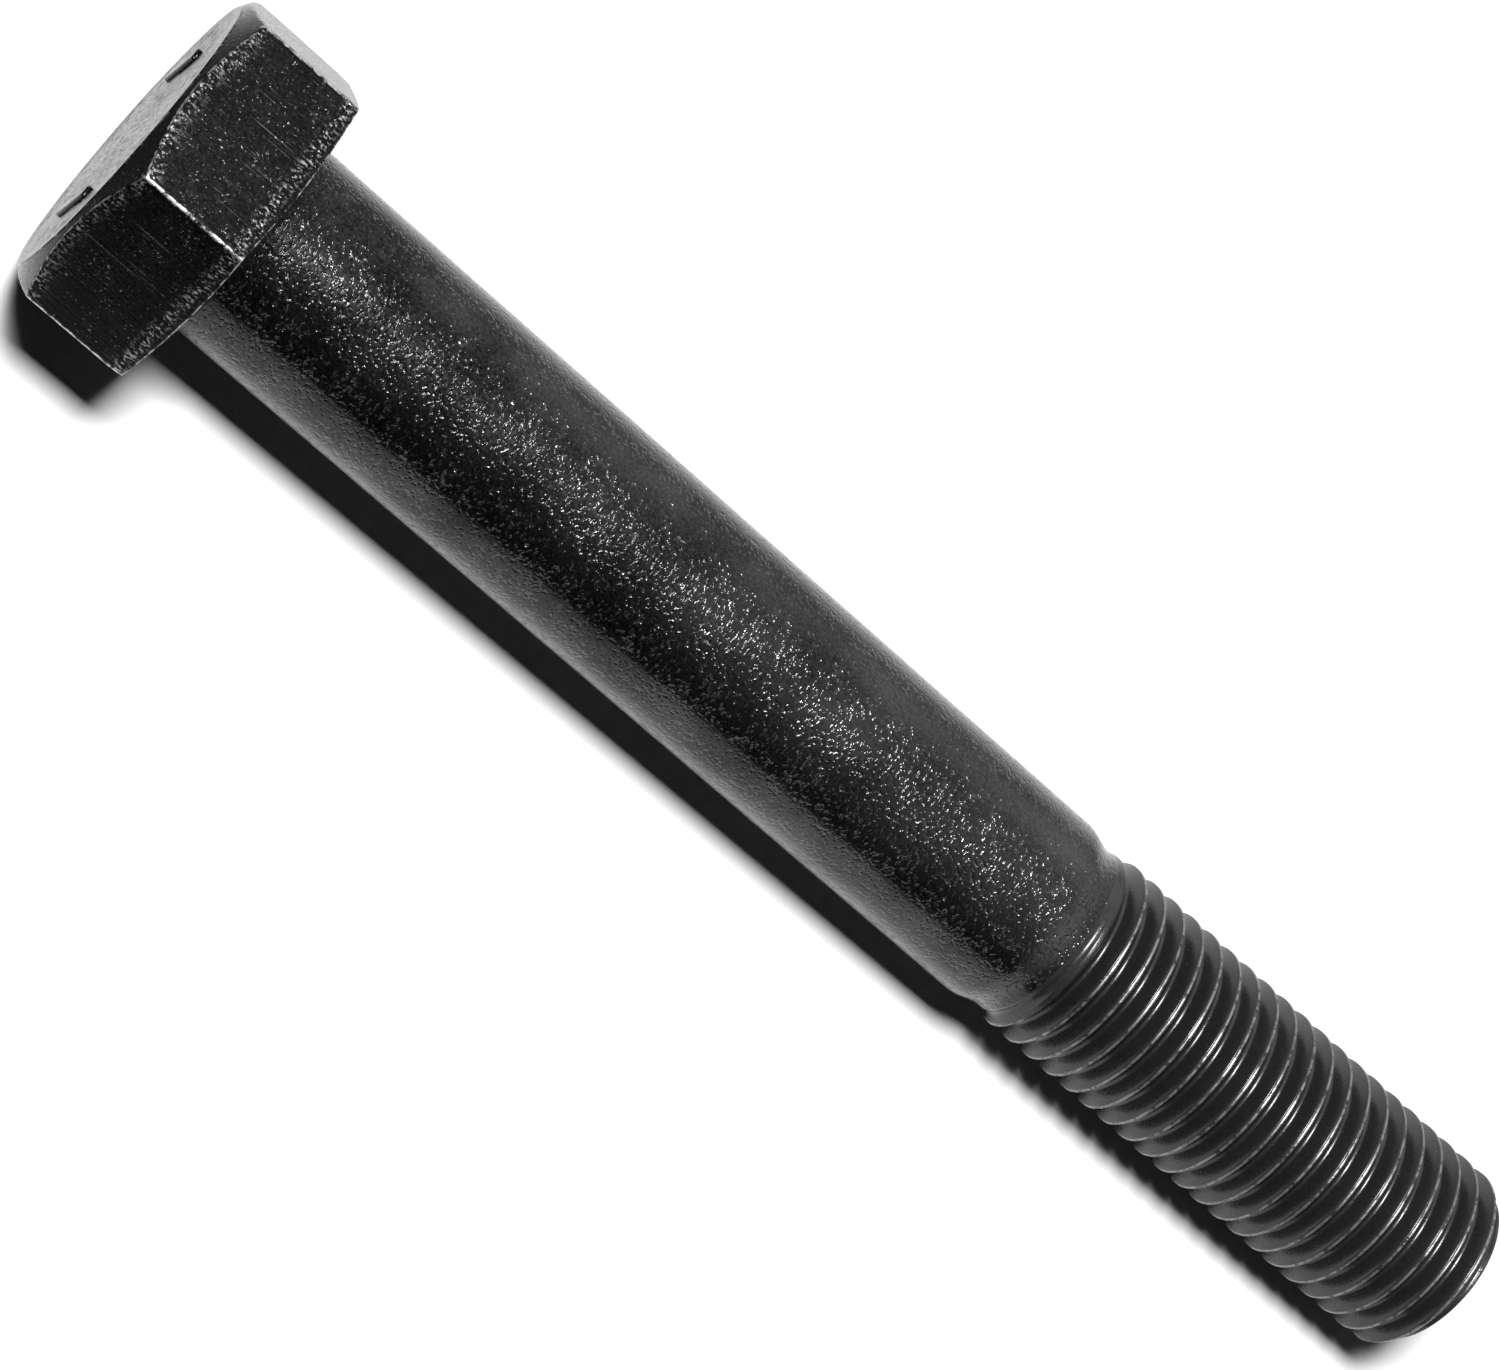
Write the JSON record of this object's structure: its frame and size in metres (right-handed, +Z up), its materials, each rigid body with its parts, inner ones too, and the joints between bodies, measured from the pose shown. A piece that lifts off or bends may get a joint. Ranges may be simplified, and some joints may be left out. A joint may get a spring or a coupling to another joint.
{
  "type": "hex bolt",
  "caption": "Hexagon head bolt with a plain shank, a short reduced neck and a coarse metric thread ending in a chamfered point.",
  "frame": {"origin": "centre of the bearing face under the head, on the bolt's axis", "axes": "+X along the bolt from head to tip, +Z up with one flat of the hexagon facing down, +Y across two corners of the hexagon"},
  "size_m": [0.1628, 0.0346, 0.03],
  "materials": {
    "black_steel_head": "black oxide, forged and lightly worn on the edges",
    "black_steel_shank": "black oxide over a finely pitted drawn surface",
    "black_steel_thread": "black oxide, rolled and oiled, worn bright along the crests"
  },
  "bodies": {
    "root": {"head": "black_steel_head", "shank": "black_steel_shank", "thread": "black_steel_thread"}
  },
  "joints": []
}
